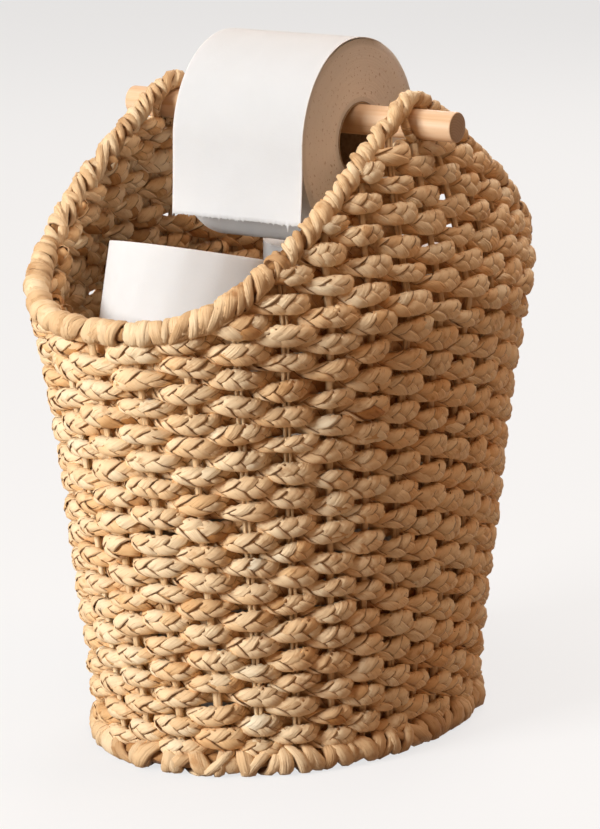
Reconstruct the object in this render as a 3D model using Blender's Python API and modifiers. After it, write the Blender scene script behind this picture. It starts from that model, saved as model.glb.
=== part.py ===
import bmesh
import bpy
import numpy as np
from math import ceil, cos, floor, pi, radians, sin
from mathutils import Matrix, Vector

# A woven basket that holds toilet rolls: one roll hangs on a dowel between two raised ears,
# and spare rolls or magazines stand inside. Lengths are in metres. The origin is on the floor
# under the middle of the basket, +X runs along the dowel, -Y is the front and +Z is up.

OBJECT_NAME = "toilet_roll_basket"

CLEARANCE = 0.0003  # between two pieces that touch

# Toilet rolls, which the basket is sized to hold
ROLL_WIDTH = 0.0990
ROLL_RADIUS = 0.0636
ROLL_EDGE_ROUNDING = 0.0012
CORE_BORE_RADIUS = 0.0227
CORE_WALL = 0.0010
HUNG_ROLL_SHIFT = 0.0045
HUNG_ROLL_STEPS = 40
SPARE_ROLL_STEPS = 24
SPARE_CORE_STEPS = 12
STACK_LAYERS = 2  # under the upper two spare rolls
UPPER_FRONT_ROLL_OVERHANG = 0.0221  # how far its axis lies in front of the lower rolls' edge line
UPPER_FRONT_ROLL_LEAN = radians(13.5)
UPPER_REAR_ROLL_OVERHANG = 0.0209
UPPER_REAR_ROLL_SHIFT = -0.0040

# Room inside the basket
STACK_ROOM = 0.0019  # between the lower rolls and the wall, at the front and the rear
MAGAZINE_POCKET = 0.0262  # between the lower rolls and the wall, at each side
HUNG_ROLL_ROOM = 0.0143  # between the upper spare rolls and the hung roll

# Basket wall, measured to the middle of its thickness, where the stakes stand
SIDE_SPREAD = 0.0191  # how much further out the mouth is than the foot, at each side
END_SPREAD = 0.0520  # the same at the front and the rear
MOUTH_HEIGHT = 0.2863
MOUTH_FLARE = 0.0055
FLARE_POWER = 8
PEAK_HALF_WIDTH = 0.0922
PEAK_HALF_DEPTH = 0.1080
EAR_LEAN_POWER = 1.1
EAR_NARROWING_POWER = 2.15

# Stakes: the upright reeds that the braid is woven round
STAKE_COUNT = 33
STAKE_RADIUS = 0.0020
STAKE_BEND_POINTS = 4
FIRST_STAKE_SHARE = 0.5  # of the spacing, from the right ear's middle to the first stake

# Braid: one plaited rope, woven round the stakes in a rising spiral
COURSE_PITCH = 0.0086
BRAID_THICKNESS = 0.0080
BRAID_GAP = 0.0004
BRAID_LENGTHS = 4
TIE_WIDTH = 0.0040  # where one ear row turns back into the next
SPIRAL_START = 8  # the stake, counted from the right ear, where the spiral starts

# Rim: a hoop wrapped with flat strands, which arches over the dowel at both ears
RIM_VALLEY_RADIUS = 0.0072
RIM_PEAK_RADIUS = 0.0054
RIM_OVERHANG = 0.0060
RIM_RISE_POWER = 3.56
RIM_RINGS = 96
RIM_LOBES = 3
RIM_LOBE_SHARE = 0.88
RIM_RINGS_PER_TURN = 6

# Foot: a thick bound ring that the basket stands on, round a woven floor
FOOT_RING_HEIGHT = 0.0160
FOOT_RING_HALF_THICKNESS = 0.0105
FOOT_RING_CHAMFER = 0.0030
FOOT_RING_OVERHANG = 0.0050
FOOT_RING_SECTIONS = 54
FLOOR_UNDERSIDE = 0.0023
FLOOR_THICKNESS = 0.0052
FLOOR_RIDGE_HEIGHT = 0.0016
FLOOR_RIDGES = 4
FLOOR_STEPS = 30

# Dowel
DOWEL_DIAMETER = 0.0190
DOWEL_LENGTH = 0.2510
DOWEL_SHIFT = 0.0006
DOWEL_END_ROUNDING = 0.0008
DOWEL_SIDES = 24

# Loose end of the hung roll
SHEET_THICKNESS = 0.0005
SHEET_DROP = 0.0466
SHEET_WRAP_ANGLE = radians(50)
SHEET_WRAP_STEPS = 6
SHEET_DROP_STEPS = 3
SHEET_CURL = 0.0012

SAMPLES = 720  # places round the rim where a clearance is measured
HALVINGS = 30  # steps of a search by halving

BETWEEN_STAKES = 0.5  # of the way from one stake to the next

FOOT_HALF_WIDTH = ROLL_RADIUS + MAGAZINE_POCKET + BRAID_THICKNESS + STAKE_RADIUS
FOOT_HALF_DEPTH = 2 * (ROLL_RADIUS + CLEARANCE) + STACK_ROOM + BRAID_THICKNESS + STAKE_RADIUS
MOUTH_HALF_WIDTH = FOOT_HALF_WIDTH + SIDE_SPREAD
MOUTH_HALF_DEPTH = FOOT_HALF_DEPTH + END_SPREAD
FLOOR_TOP = FLOOR_UNDERSIDE + FLOOR_THICKNESS
LAYER_HEIGHT = ROLL_WIDTH + CLEARANCE
STACK_TOP = FLOOR_TOP + LAYER_HEIGHT * STACK_LAYERS
DOWEL_RADIUS = DOWEL_DIAMETER / 2
HUNG_ROLL_HEIGHT = STACK_TOP + LAYER_HEIGHT + HUNG_ROLL_ROOM + ROLL_RADIUS
DOWEL_HEIGHT = HUNG_ROLL_HEIGHT + CORE_BORE_RADIUS - CLEARANCE - DOWEL_RADIUS
PEAK_HEIGHT = DOWEL_HEIGHT + DOWEL_RADIUS + CLEARANCE + RIM_PEAK_RADIUS
SEAT_HEIGHT = DOWEL_HEIGHT - DOWEL_RADIUS - CLEARANCE
COURSE_HEIGHT = COURSE_PITCH - BRAID_GAP
FIRST_COURSE = FOOT_RING_HEIGHT + BRAID_GAP + COURSE_HEIGHT / 2
ROOM_FOR_COURSES = MOUTH_HEIGHT - RIM_VALLEY_RADIUS - CLEARANCE - FIRST_COURSE - COURSE_HEIGHT / 2
SPIRAL_TURNS = int(ROOM_FOR_COURSES / COURSE_PITCH)
CORE_RADIUS = CORE_BORE_RADIUS + CORE_WALL
PAPER_BORE_RADIUS = CORE_RADIUS + CLEARANCE


def clear_scene():
    for obj in list(bpy.data.objects):
        bpy.data.objects.remove(obj, do_unlink=True)


def new_collection(name):
    collection = bpy.data.collections.new(name)
    bpy.context.scene.collection.children.link(collection)
    return collection


def material(name, colour, roughness):
    made = bpy.data.materials.new(name)
    made.use_nodes = True
    shader = made.node_tree.nodes["Principled BSDF"]
    shader.inputs["Base Color"].default_value = (*colour, 1.0)
    shader.inputs["Roughness"].default_value = roughness
    shader.inputs["Metallic"].default_value = 0.0
    return made


def link(name, data, finish, collection):
    obj = bpy.data.objects.new(name, data)
    data.materials.append(finish)
    collection.objects.link(obj)
    return obj


# The wall's surface


def wall_half_sizes(height):
    rise = min(height / MOUTH_HEIGHT, 1.0)
    flare = MOUTH_FLARE * rise**FLARE_POWER
    half_width = FOOT_HALF_WIDTH + (MOUTH_HALF_WIDTH - FOOT_HALF_WIDTH) * rise + flare
    half_depth = FOOT_HALF_DEPTH + (MOUTH_HALF_DEPTH - FOOT_HALF_DEPTH) * rise + flare
    if height > MOUTH_HEIGHT:
        climb = min((height - MOUTH_HEIGHT) / (PEAK_HEIGHT - MOUTH_HEIGHT), 1.0)
        half_width -= (half_width - PEAK_HALF_WIDTH) * climb**EAR_LEAN_POWER
        half_depth -= (half_depth - PEAK_HALF_DEPTH) * climb**EAR_NARROWING_POWER
    return half_width, half_depth


def wall_point(angle, height, outwards=0.0, along=0.0):
    """A point on the wall at this angle and height, moved out of the wall and along it."""
    half_width, half_depth = wall_half_sizes(height)
    normal = Vector((cos(angle) / half_width, sin(angle) / half_depth, 0.0)).normalized()
    tangent = Vector((-normal.y, normal.x, 0.0))
    place = Vector((half_width * cos(angle), half_depth * sin(angle), height))
    return place + normal * outwards + tangent * along


FINE_ANGLES = np.linspace(0.0, 2 * pi, SAMPLES * 2 + 1)
FINE_PLACES = np.array([wall_point(angle, MOUTH_HEIGHT / 2) for angle in FINE_ANGLES])
FINE_STEPS = np.linalg.norm(np.diff(FINE_PLACES, axis=0), axis=1)
FINE_LENGTHS = np.concatenate([[0.0], np.cumsum(FINE_STEPS)])


def angle_round(share):
    """The wall's angle at a share of the way round it, measured at half its height."""
    turns, part = divmod(share, 1.0)
    return 2 * pi * turns + float(np.interp(part * FINE_LENGTHS[-1], FINE_LENGTHS, FINE_ANGLES))


def even_angles(count):
    return [angle_round(i / count) for i in range(count)]


def angle_at(stake):
    """The wall's angle at a whole or part stake number. The right ear's middle lies between two."""
    return angle_round((stake + FIRST_STAKE_SHARE) / STAKE_COUNT)


STAKE_ANGLES = [angle_at(i) for i in range(STAKE_COUNT)]
STAKE_SPACING = (wall_point(STAKE_ANGLES[1], 0.0) - wall_point(STAKE_ANGLES[0], 0.0)).length


# The rim


def rim_climb(angle):
    return abs(cos(angle)) ** RIM_RISE_POWER


def rim_radius(angle):
    return RIM_VALLEY_RADIUS + (RIM_PEAK_RADIUS - RIM_VALLEY_RADIUS) * rim_climb(angle)


def rim_point(angle):
    climb = rim_climb(angle)
    height = MOUTH_HEIGHT + (PEAK_HEIGHT - MOUTH_HEIGHT) * climb
    return wall_point(angle, height, RIM_OVERHANG * (1.0 - climb))


RIM_SAMPLE_ANGLES = [2 * pi * i / SAMPLES for i in range(SAMPLES)]
RIM_PLACES = np.array([rim_point(angle) for angle in RIM_SAMPLE_ANGLES])
RIM_RADII = np.array([rim_radius(angle) for angle in RIM_SAMPLE_ANGLES])


def clear_of_rim(point):
    distance = np.linalg.norm(RIM_PLACES - np.array(point), axis=1) - RIM_RADII
    return distance.min() >= CLEARANCE


def edge_of_fit(fitting, failing, fits):
    """The value next to failing that still fits, found by halving."""
    for _ in range(HALVINGS):
        middle = (fitting + failing) / 2
        if fits(middle):
            fitting = middle
        else:
            failing = middle
    return fitting


# The weave


def weave_offset(height, half_height):
    """How far the braid's middle stands off the stakes' middle, so that it clears every stake."""
    half = BRAID_THICKNESS / 2

    def clears(offset):
        for i, angle in enumerate(STAKE_ANGLES):
            stake = wall_point(angle, height)
            ends = [wall_point(angle, height + side * half_height) for side in (-1, 1)]
            reach = STAKE_RADIUS + CLEARANCE + max((end - stake).xy.length for end in ends)
            for side in (-1, 1):
                corner = wall_point(angle, height, side * offset)
                inner = wall_point(angle, height, side * (offset - half))
                for j in (i - 1, (i + 1) % STAKE_COUNT):
                    run = (wall_point(STAKE_ANGLES[j], height, -side * offset) - corner).normalized()
                    if (stake - inner).cross(run).length < reach:
                        return False
        return True

    return edge_of_fit(BRAID_THICKNESS * 2, half, clears)


def zigzag(stake):
    """1 at even stakes, where the braid passes outside, and -1 at odd ones."""
    return 2 * abs(stake % 2 - 1) - 1


def spiral_height(stake):
    return FIRST_COURSE + COURSE_PITCH * (stake - SPIRAL_START) / STAKE_COUNT


def braid_places(first, last, height_at, offset):
    """Points of a braid from one stake number to another, straight from stake to stake."""

    def corner(stake):
        return wall_point(angle_at(stake), height_at(stake), offset * zigzag(stake))

    def place_at(stake):
        return corner(floor(stake)).lerp(corner(floor(stake) + 1), stake - floor(stake))

    stakes = [first, *range(floor(first) + 1, ceil(last)), last]
    return [place_at(stake) for stake in stakes]


# Curves


def profile(name, corners, helpers):
    """A closed outline, hidden, that a curve is swept with."""
    curve = bpy.data.curves.new(name, "CURVE")
    curve.dimensions = "2D"
    spline = curve.splines.new("POLY")
    spline.points.add(len(corners) - 1)
    for point, (x, y) in zip(spline.points, corners):
        point.co = (x, y, 0.0, 1.0)
    spline.use_cyclic_u = True
    obj = bpy.data.objects.new(name, curve)
    helpers.objects.link(obj)
    obj.hide_render = True
    obj.display_type = "WIRE"
    return obj


def polyline(name, places, cyclic=False):
    curve = bpy.data.curves.new(name, "CURVE")
    curve.dimensions = "3D"
    curve.twist_mode = "Z_UP"
    curve.use_fill_caps = not cyclic
    spline = curve.splines.new("POLY")
    spline.points.add(len(places) - 1)
    for point, place in zip(spline.points, places):
        point.co = (*place, 1.0)
    spline.use_cyclic_u = cyclic
    return curve


def oblong(half_thickness, half_height):
    return [
        (half_thickness, -half_height),
        (-half_thickness, -half_height),
        (-half_thickness, half_height),
        (half_thickness, half_height),
    ]


def chamfered(half_thickness, half_height, chamfer):
    x = half_thickness - chamfer
    y = half_height - chamfer
    return [
        (half_thickness, -y),
        (x, -half_height),
        (-x, -half_height),
        (-half_thickness, -y),
        (-half_thickness, y),
        (-x, half_height),
        (x, half_height),
        (half_thickness, y),
    ]


def mesh_from_curve(obj, collection):
    """The curve object as a welded mesh object of the same name."""
    name = obj.name
    graph = bpy.context.evaluated_depsgraph_get()
    mesh = bpy.data.meshes.new_from_object(obj.evaluated_get(graph))
    made = bpy.data.objects.new(name, mesh)
    made.matrix_world = obj.matrix_world
    collection.objects.link(made)
    bpy.data.objects.remove(obj, do_unlink=True)
    made.name = name
    weld = bmesh.new()
    weld.from_mesh(mesh)
    bmesh.ops.remove_doubles(weld, verts=weld.verts, dist=CLEARANCE / 10)
    bmesh.ops.recalc_face_normals(weld, faces=weld.faces)
    weld.to_mesh(mesh)
    weld.free()
    return made


def turned(name, outline, steps, finish, collection):
    """A ring turned about Z from an outline of (radius, height), outer side first, downwards."""
    mesh = bpy.data.meshes.new(name)
    corners = [(radius, 0.0, height) for radius, height in outline]
    edges = [(i, (i + 1) % len(corners)) for i in range(len(corners))]
    mesh.from_pydata(corners, edges, [])
    obj = link(name, mesh, finish, collection)
    screw = obj.modifiers.new("Turn", "SCREW")
    screw.axis = "Z"
    screw.angle = 2 * pi
    screw.steps = steps
    screw.render_steps = steps
    screw.use_merge_vertices = True
    screw.merge_threshold = CLEARANCE / 10
    screw.use_smooth_shade = False
    return obj


# Sub-parts


def top_of_stake(angle):
    """The height where a stake ends, just under the rim, or under the dowel where one lies over it."""

    def fits(height):
        places = [wall_point(angle, height, 0.0, side * STAKE_RADIUS) for side in (-1, 0, 1)]
        return all(clear_of_rim(place) for place in places)

    top = edge_of_fit(0.0, rim_point(angle).z, fits)
    beside_dowel = DOWEL_RADIUS + STAKE_RADIUS + CLEARANCE
    if top > SEAT_HEIGHT and abs(wall_point(angle, SEAT_HEIGHT).y) < beside_dowel:
        top = SEAT_HEIGHT - STAKE_RADIUS / 2
    return top


def stake_places(angle):
    """Straight up to half height, then in short straight runs to the mouth and on into the ear."""
    bends = np.linspace(MOUTH_HEIGHT / 2, MOUTH_HEIGHT, STAKE_BEND_POINTS)
    top = top_of_stake(angle)
    heights = [FOOT_RING_HEIGHT + CLEARANCE, *bends[bends < top - STAKE_RADIUS]]
    if top > MOUTH_HEIGHT:
        heights += list(np.linspace(MOUTH_HEIGHT, top, STAKE_BEND_POINTS)[1:-1])
    return [wall_point(angle, height) for height in [*heights, top]]


def add_stakes(collection):
    finish = material("stake reed", (0.42, 0.26, 0.12), 0.7)
    for i, angle in enumerate(STAKE_ANGLES):
        name = f"stake_{i + 1:02d}"
        curve = polyline(name, stake_places(angle))
        curve.bevel_depth = STAKE_RADIUS
        curve.bevel_resolution = 1
        link(name, curve, finish, collection)


def add_braid_lengths(finish, section, collection):
    """The spiral, cut into lengths that meet end to end between two stakes."""
    span = SPIRAL_TURNS * STAKE_COUNT
    half_gap = CLEARANCE / STAKE_SPACING
    cuts = [SPIRAL_START + int(span * i / BRAID_LENGTHS) + BETWEEN_STAKES for i in range(BRAID_LENGTHS)]
    cuts.append(SPIRAL_START + span - BETWEEN_STAKES)
    heights = (FIRST_COURSE, MOUTH_HEIGHT / 2, FIRST_COURSE + COURSE_PITCH * SPIRAL_TURNS)
    offset = max(weave_offset(height, COURSE_HEIGHT / 2) for height in heights)
    for i in range(BRAID_LENGTHS):
        name = f"braid_length_{i + 1}"
        places = braid_places(cuts[i] + half_gap, cuts[i + 1] - half_gap, spiral_height, offset)
        curve = polyline(name, places)
        curve.bevel_mode = "OBJECT"
        curve.bevel_object = section
        link(name, curve, finish, collection)


def row_end(middle, side, height_at, half_height):
    """The stake number where a row of an ear ends, just clear of the rim on that side."""

    def fits(reach):
        stake = middle + side * reach
        angle = angle_at(stake)
        point = wall_point(angle, height_at(stake) + half_height, RIM_OVERHANG * (1.0 - rim_climb(angle)))
        return point.z < rim_point(angle).z and clear_of_rim(point)

    end_slant = BRAID_THICKNESS / 2 / STAKE_SPACING
    reach = edge_of_fit(0.0, STAKE_COUNT / 4, fits)
    return middle + side * (reach - end_slant)


def box_at(name, place, size, angle, collection):
    """A block centred on a place, turned about Z, as a mesh object."""
    mesh = bpy.data.meshes.new(name)
    shape = bmesh.new()
    bmesh.ops.create_cube(shape, size=1.0)
    bmesh.ops.scale(shape, vec=size, verts=shape.verts)
    bmesh.ops.rotate(shape, cent=(0.0, 0.0, 0.0), matrix=Matrix.Rotation(angle, 3, "Z"), verts=shape.verts)
    bmesh.ops.translate(shape, vec=place, verts=shape.verts)
    shape.to_mesh(mesh)
    shape.free()
    obj = bpy.data.objects.new(name, mesh)
    collection.objects.link(obj)
    return obj


def add_ear(name, middle, finish, collection, helpers):
    """The short rows of braid that fill one ear, from the spiral's last course up to the dowel."""
    turn = STAKE_COUNT
    last_course = middle + turn * int((SPIRAL_START + SPIRAL_TURNS * turn - middle) / turn)
    lowest = spiral_height(last_course) + COURSE_HEIGHT / 2
    rows = round((SEAT_HEIGHT - lowest) / COURSE_PITCH)
    pitch = (SEAT_HEIGHT - lowest) / rows
    half_height = (pitch - BRAID_GAP) / 2
    section = profile(name + "_section", oblong(BRAID_THICKNESS / 2, half_height), helpers)
    pieces = []
    for row in range(1, rows + 1):
        centre = last_course + row * turn

        def height_at(stake, row=row, centre=centre):
            slope = spiral_height(stake) - spiral_height(centre)
            return lowest + pitch * row - half_height + slope

        first = row_end(centre, -1, height_at, half_height)
        last = row_end(centre, 1, height_at, half_height)
        row_name = f"{name}_row_{row:02d}"
        offset = weave_offset(height_at(centre), half_height)
        curve = polyline(row_name, braid_places(first, last, height_at, offset))
        curve.bevel_mode = "OBJECT"
        curve.bevel_object = section
        pieces.append(mesh_from_curve(link(row_name, curve, finish, helpers), helpers))
        if row > 1:
            tie = ceil(first) + BETWEEN_STAKES if row % 2 else floor(last) - BETWEEN_STAKES
            place = wall_point(angle_at(tie), height_at(tie) - pitch / 2)
            size = (TIE_WIDTH, TIE_WIDTH, pitch)
            pieces.append(box_at(f"{name}_tie_{row:02d}", place, size, angle_at(tie), helpers))
    return united(name, pieces, finish, collection)


def united(name, pieces, finish, collection):
    """The pieces joined into one body."""
    base = pieces[0]
    base.name = name
    for other in pieces[1:]:
        union = base.modifiers.new("Join", "BOOLEAN")
        union.operation = "UNION"
        union.object = other
        other.hide_render = True
        other.display_type = "WIRE"
    base.users_collection[0].objects.unlink(base)
    collection.objects.link(base)
    base.data.materials.clear()
    base.data.materials.append(finish)
    return base


def add_rim(finish, collection, helpers):
    """The wrapped hoop: a lobed section, turned a little at each ring, along the rim's line."""
    corners = []
    for i in range(2 * RIM_LOBES):
        angle = pi * i / RIM_LOBES
        share = 1.0 if i % 2 == 0 else RIM_LOBE_SHARE
        corners.append((RIM_VALLEY_RADIUS * share * cos(-angle), RIM_VALLEY_RADIUS * share * sin(-angle)))
    section = profile("rim_section", corners, helpers)
    angles = even_angles(RIM_RINGS)
    curve = polyline("rim_wrap", [rim_point(angle) for angle in angles], cyclic=True)
    for i, (point, angle) in enumerate(zip(curve.splines[0].points, angles)):
        point.radius = rim_radius(angle) / RIM_VALLEY_RADIUS
        point.tilt = 2 * pi * i / RIM_RINGS_PER_TURN
    curve.bevel_mode = "OBJECT"
    curve.bevel_object = section
    link("rim_wrap", curve, finish, collection)


def add_foot(finish, floor_finish, collection, helpers):
    half_height = FOOT_RING_HEIGHT / 2
    corners = chamfered(FOOT_RING_HALF_THICKNESS, half_height, FOOT_RING_CHAMFER)
    section = profile("foot_section", corners, helpers)
    places = []
    for angle in even_angles(FOOT_RING_SECTIONS):
        place = wall_point(angle, 0.0, FOOT_RING_OVERHANG)
        places.append(place + Vector((0.0, 0.0, half_height)))
    curve = polyline("foot_ring", places, cyclic=True)
    curve.bevel_mode = "OBJECT"
    curve.bevel_object = section
    link("foot_ring", curve, finish, collection)
    add_floor(floor_finish, collection)


def add_floor(finish, collection):
    """The woven floor: an oval disc with a ridge for each coil of braid."""
    inset = FOOT_RING_HALF_THICKNESS - FOOT_RING_OVERHANG + CLEARANCE * 2
    half_width = FOOT_HALF_WIDTH - inset
    half_depth = FOOT_HALF_DEPTH - inset
    step = half_width / (2 * FLOOR_RIDGES)
    outline = [(0.0, FLOOR_UNDERSIDE), (half_width, FLOOR_UNDERSIDE)]
    for i in range(2 * FLOOR_RIDGES, -1, -1):
        lowered = FLOOR_RIDGE_HEIGHT if i % 2 == 0 else 0.0
        outline.append((step * i, FLOOR_TOP - lowered))
    mesh = bpy.data.meshes.new("floor_panel")
    corners = [(radius, 0.0, height) for radius, height in reversed(outline)]
    mesh.from_pydata(corners, [(i, i + 1) for i in range(len(corners) - 1)], [])
    obj = link("floor_panel", mesh, finish, collection)
    obj.scale = (1.0, half_depth / half_width, 1.0)
    screw = obj.modifiers.new("Turn", "SCREW")
    screw.steps = FLOOR_STEPS
    screw.render_steps = FLOOR_STEPS
    screw.use_merge_vertices = True
    screw.merge_threshold = CLEARANCE / 10
    screw.use_smooth_shade = False


def add_dowel(collection):
    finish = material("pale wood", (0.80, 0.58, 0.36), 0.5)
    mesh = bpy.data.meshes.new("dowel")
    shape = bmesh.new()
    bmesh.ops.create_cone(
        shape,
        cap_ends=True,
        segments=DOWEL_SIDES,
        radius1=DOWEL_RADIUS,
        radius2=DOWEL_RADIUS,
        depth=DOWEL_LENGTH,
        matrix=Matrix.Rotation(pi / 2, 4, "Y"),
    )
    shape.to_mesh(mesh)
    shape.free()
    mesh.shade_smooth()
    mesh.set_sharp_from_angle(angle=radians(40))
    obj = link("dowel", mesh, finish, collection)
    obj.location = (DOWEL_SHIFT, 0.0, DOWEL_HEIGHT)
    rounding = obj.modifiers.new("Eased ends", "BEVEL")
    rounding.width = DOWEL_END_ROUNDING
    rounding.segments = 1
    rounding.limit_method = "ANGLE"
    rounding.angle_limit = radians(40)


def add_roll(name, turn_steps, core_steps, place, card, paper, collection):
    """A roll of paper on its card core, standing on Z at a place given for the middle of its axis."""
    half = ROLL_WIDTH / 2
    soft = ROLL_EDGE_ROUNDING
    sleeve = [(CORE_RADIUS, half), (CORE_RADIUS, -half), (CORE_BORE_RADIUS, -half), (CORE_BORE_RADIUS, half)]
    wound = [
        (ROLL_RADIUS - soft, half),
        (ROLL_RADIUS, half - soft),
        (ROLL_RADIUS, soft - half),
        (ROLL_RADIUS - soft, -half),
        (PAPER_BORE_RADIUS, -half),
        (PAPER_BORE_RADIUS, half),
    ]
    pieces = [
        turned(name + "_core", sleeve, core_steps, card, collection),
        turned(name + "_paper", wound, turn_steps, paper, collection),
    ]
    for piece in pieces:
        piece.matrix_world = place
    return pieces


def add_hung_roll(card, paper, collection):
    """The roll on the dowel, with its axis on the hinge line, and the loose sheet in front of it."""
    axis = bpy.data.objects.new("hung_roll_axis", None)
    axis.location = (HUNG_ROLL_SHIFT, 0.0, HUNG_ROLL_HEIGHT)
    collection.objects.link(axis)
    place = Matrix.Rotation(pi / 2, 4, "Y")
    pieces = add_roll("hung_roll", HUNG_ROLL_STEPS, HUNG_ROLL_STEPS, place, card, paper, collection)
    pieces.append(add_loose_sheet(paper, collection))
    for piece in pieces:
        piece.parent = axis


def add_loose_sheet(finish, collection):
    """The last sheet: it follows the roll over its front, then hangs straight down."""
    radius = ROLL_RADIUS + CLEARANCE
    path = []
    for i in range(SHEET_WRAP_STEPS):
        angle = SHEET_WRAP_ANGLE * (1 - i / SHEET_WRAP_STEPS)
        path.append((-radius * cos(angle), radius * sin(angle)))
    for i in range(SHEET_DROP_STEPS + 1):
        share = i / SHEET_DROP_STEPS
        path.append((-radius - SHEET_CURL * share**2, -SHEET_DROP * share))
    half = ROLL_WIDTH / 2
    corners = [(x, y, z) for y, z in path for x in (-half, half)]
    faces = [(2 * i, 2 * i + 1, 2 * i + 3, 2 * i + 2) for i in range(len(path) - 1)]
    mesh = bpy.data.meshes.new("loose_sheet")
    mesh.from_pydata(corners, [], faces)
    obj = link("loose_sheet", mesh, finish, collection)
    thickness = obj.modifiers.new("Paper", "SOLIDIFY")
    thickness.thickness = SHEET_THICKNESS
    thickness.offset = -1.0
    return obj


def add_spare_rolls(card, paper, collection):
    """Two stacks on the floor, a roll that leans on the front one and a roll on the rear one."""
    half = ROLL_WIDTH / 2
    stack_depth = ROLL_RADIUS + CLEARANCE
    places = []
    for side, where in ((-1, "front"), (1, "rear")):
        for i in range(STACK_LAYERS):
            height = FLOOR_TOP + CLEARANCE + half + LAYER_HEIGHT * i
            places.append((f"spare_{where}_{i + 1}", Matrix.Translation((0.0, side * stack_depth, height))))
    rear = (UPPER_REAR_ROLL_SHIFT, ROLL_RADIUS + UPPER_REAR_ROLL_OVERHANG, STACK_TOP + CLEARANCE + half)
    places.append(("spare_rear_top", Matrix.Translation(rear)))
    lean = UPPER_FRONT_ROLL_LEAN
    middle = -ROLL_RADIUS - UPPER_FRONT_ROLL_OVERHANG - half * sin(lean)
    lift = half * cos(lean) + ROLL_RADIUS * sin(lean)
    front = Matrix.Translation((0.0, middle, STACK_TOP + CLEARANCE + lift))
    places.append(("spare_front_top", front @ Matrix.Rotation(-lean, 4, "X")))
    for name, place in places:
        add_roll(name, SPARE_ROLL_STEPS, SPARE_CORE_STEPS, place, card, paper, collection)


def main():
    clear_scene()
    parts = new_collection(OBJECT_NAME)
    helpers = new_collection("helpers")
    braid = material("water hyacinth braid", (0.55, 0.33, 0.15), 0.75)
    wrap = material("flat wrapping strand", (0.62, 0.40, 0.20), 0.7)
    card = material("grey card", (0.55, 0.47, 0.38), 0.85)
    paper = material("soft paper", (0.90, 0.88, 0.85), 0.9)
    section = profile("braid_section", oblong(BRAID_THICKNESS / 2, COURSE_HEIGHT / 2), helpers)
    add_foot(wrap, braid, parts, helpers)
    add_stakes(parts)
    add_braid_lengths(braid, section, parts)
    add_ear("ear_braid_right", -FIRST_STAKE_SHARE, braid, parts, helpers)
    add_ear("ear_braid_left", STAKE_COUNT / 2 - FIRST_STAKE_SHARE, braid, parts, helpers)
    add_rim(wrap, parts, helpers)
    add_dowel(parts)
    add_hung_roll(card, paper, parts)
    add_spare_rolls(card, paper, parts)


main()
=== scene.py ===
import math

import bmesh
import bpy
import numpy as np
from mathutils import Matrix, Vector


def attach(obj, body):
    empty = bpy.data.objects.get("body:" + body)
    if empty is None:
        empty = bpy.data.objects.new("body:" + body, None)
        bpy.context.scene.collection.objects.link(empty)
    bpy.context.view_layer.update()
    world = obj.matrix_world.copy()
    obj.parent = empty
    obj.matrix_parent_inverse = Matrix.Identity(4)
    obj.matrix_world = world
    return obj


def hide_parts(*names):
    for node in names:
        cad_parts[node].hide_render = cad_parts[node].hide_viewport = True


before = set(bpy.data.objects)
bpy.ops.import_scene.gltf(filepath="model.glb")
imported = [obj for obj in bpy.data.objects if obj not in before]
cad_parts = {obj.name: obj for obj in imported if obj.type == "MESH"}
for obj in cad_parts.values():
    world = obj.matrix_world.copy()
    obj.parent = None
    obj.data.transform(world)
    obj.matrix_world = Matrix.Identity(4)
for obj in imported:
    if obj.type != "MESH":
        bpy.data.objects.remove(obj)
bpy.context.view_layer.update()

# Basket of plaited rope that holds toilet rolls. One roll hangs on a dowel between two ears.
# Everything is in metres, +X along the dowel, -Y to the front, +Z up.

rng = np.random.default_rng(11)
pi = math.pi
print("frame loaded")


# small helpers


def deselectAll():
    if bpy.context.object and bpy.context.object.mode != "OBJECT":
        bpy.ops.object.mode_set(mode="OBJECT")
    bpy.ops.object.select_all(action="DESELECT")


def unit(vectors):
    return vectors / np.linalg.norm(vectors, axis=-1, keepdims=True)


def directions(line, closed=False):
    if closed:
        return unit(np.roll(line, -1, 0) - np.roll(line, 1, 0))
    return unit(np.gradient(line, axis=0))


def lengthsAlong(line):
    return np.concatenate([[0.0], np.cumsum(np.linalg.norm(np.diff(line, axis=0), axis=1))])


def drift(count, every, size):  # a slow random wander over count samples, new every so many
    knots = rng.normal(0.0, 1.0, int(count / every) + 3)
    x = np.arange(count) / every
    base = x.astype(int)
    t = x - base
    t = t * t * (3 - 2 * t)
    return size * (knots[base] * (1 - t) + knots[base + 1] * t)


def loopDrift(count, every, size):  # the same, at rest where the two ends of a loop meet
    return drift(count, every, size) * calmEnds(count, 2.0 * every)


def calmEnds(count, reach):
    return np.clip(np.minimum(np.arange(count), np.arange(count)[::-1]) / reach, 0.0, 1.0)


def newMaterial(name, colour, roughness):
    made = bpy.data.materials.new(name)
    made.use_nodes = True
    shader = made.node_tree.nodes["Principled BSDF"]
    shader.inputs["Base Color"].default_value = (*colour, 1.0)
    shader.inputs["Roughness"].default_value = roughness
    shader.inputs["Specular IOR Level"].default_value = 0.25
    return made, made.node_tree, shader


def enter(value, node, entry):  # the value is another node's output, or a plain one
    if isinstance(value, bpy.types.NodeSocket):
        node.id_data.links.new(value, node.inputs[entry])
    else:
        node.inputs[entry].default_value = value


def addNode(tree, kind, output, entries={}, **settings):
    node = tree.nodes.new("ShaderNode" + kind)
    for key, value in settings.items():
        setattr(node, key, value)
    for entry, value in entries.items():
        enter(value, node, entry)
    return node.outputs[output]


def addMath(kind, a, b=0.0):
    return addNode(a.id_data, "Math", "Value", {0: a, 1: b}, operation=kind)


def addNoise(place, scale, detail, roughness=0.5):
    entries = {"Vector": place, "Scale": scale, "Detail": detail, "Roughness": roughness}
    return addNode(place.id_data, "TexNoise", "Fac", entries)


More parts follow.
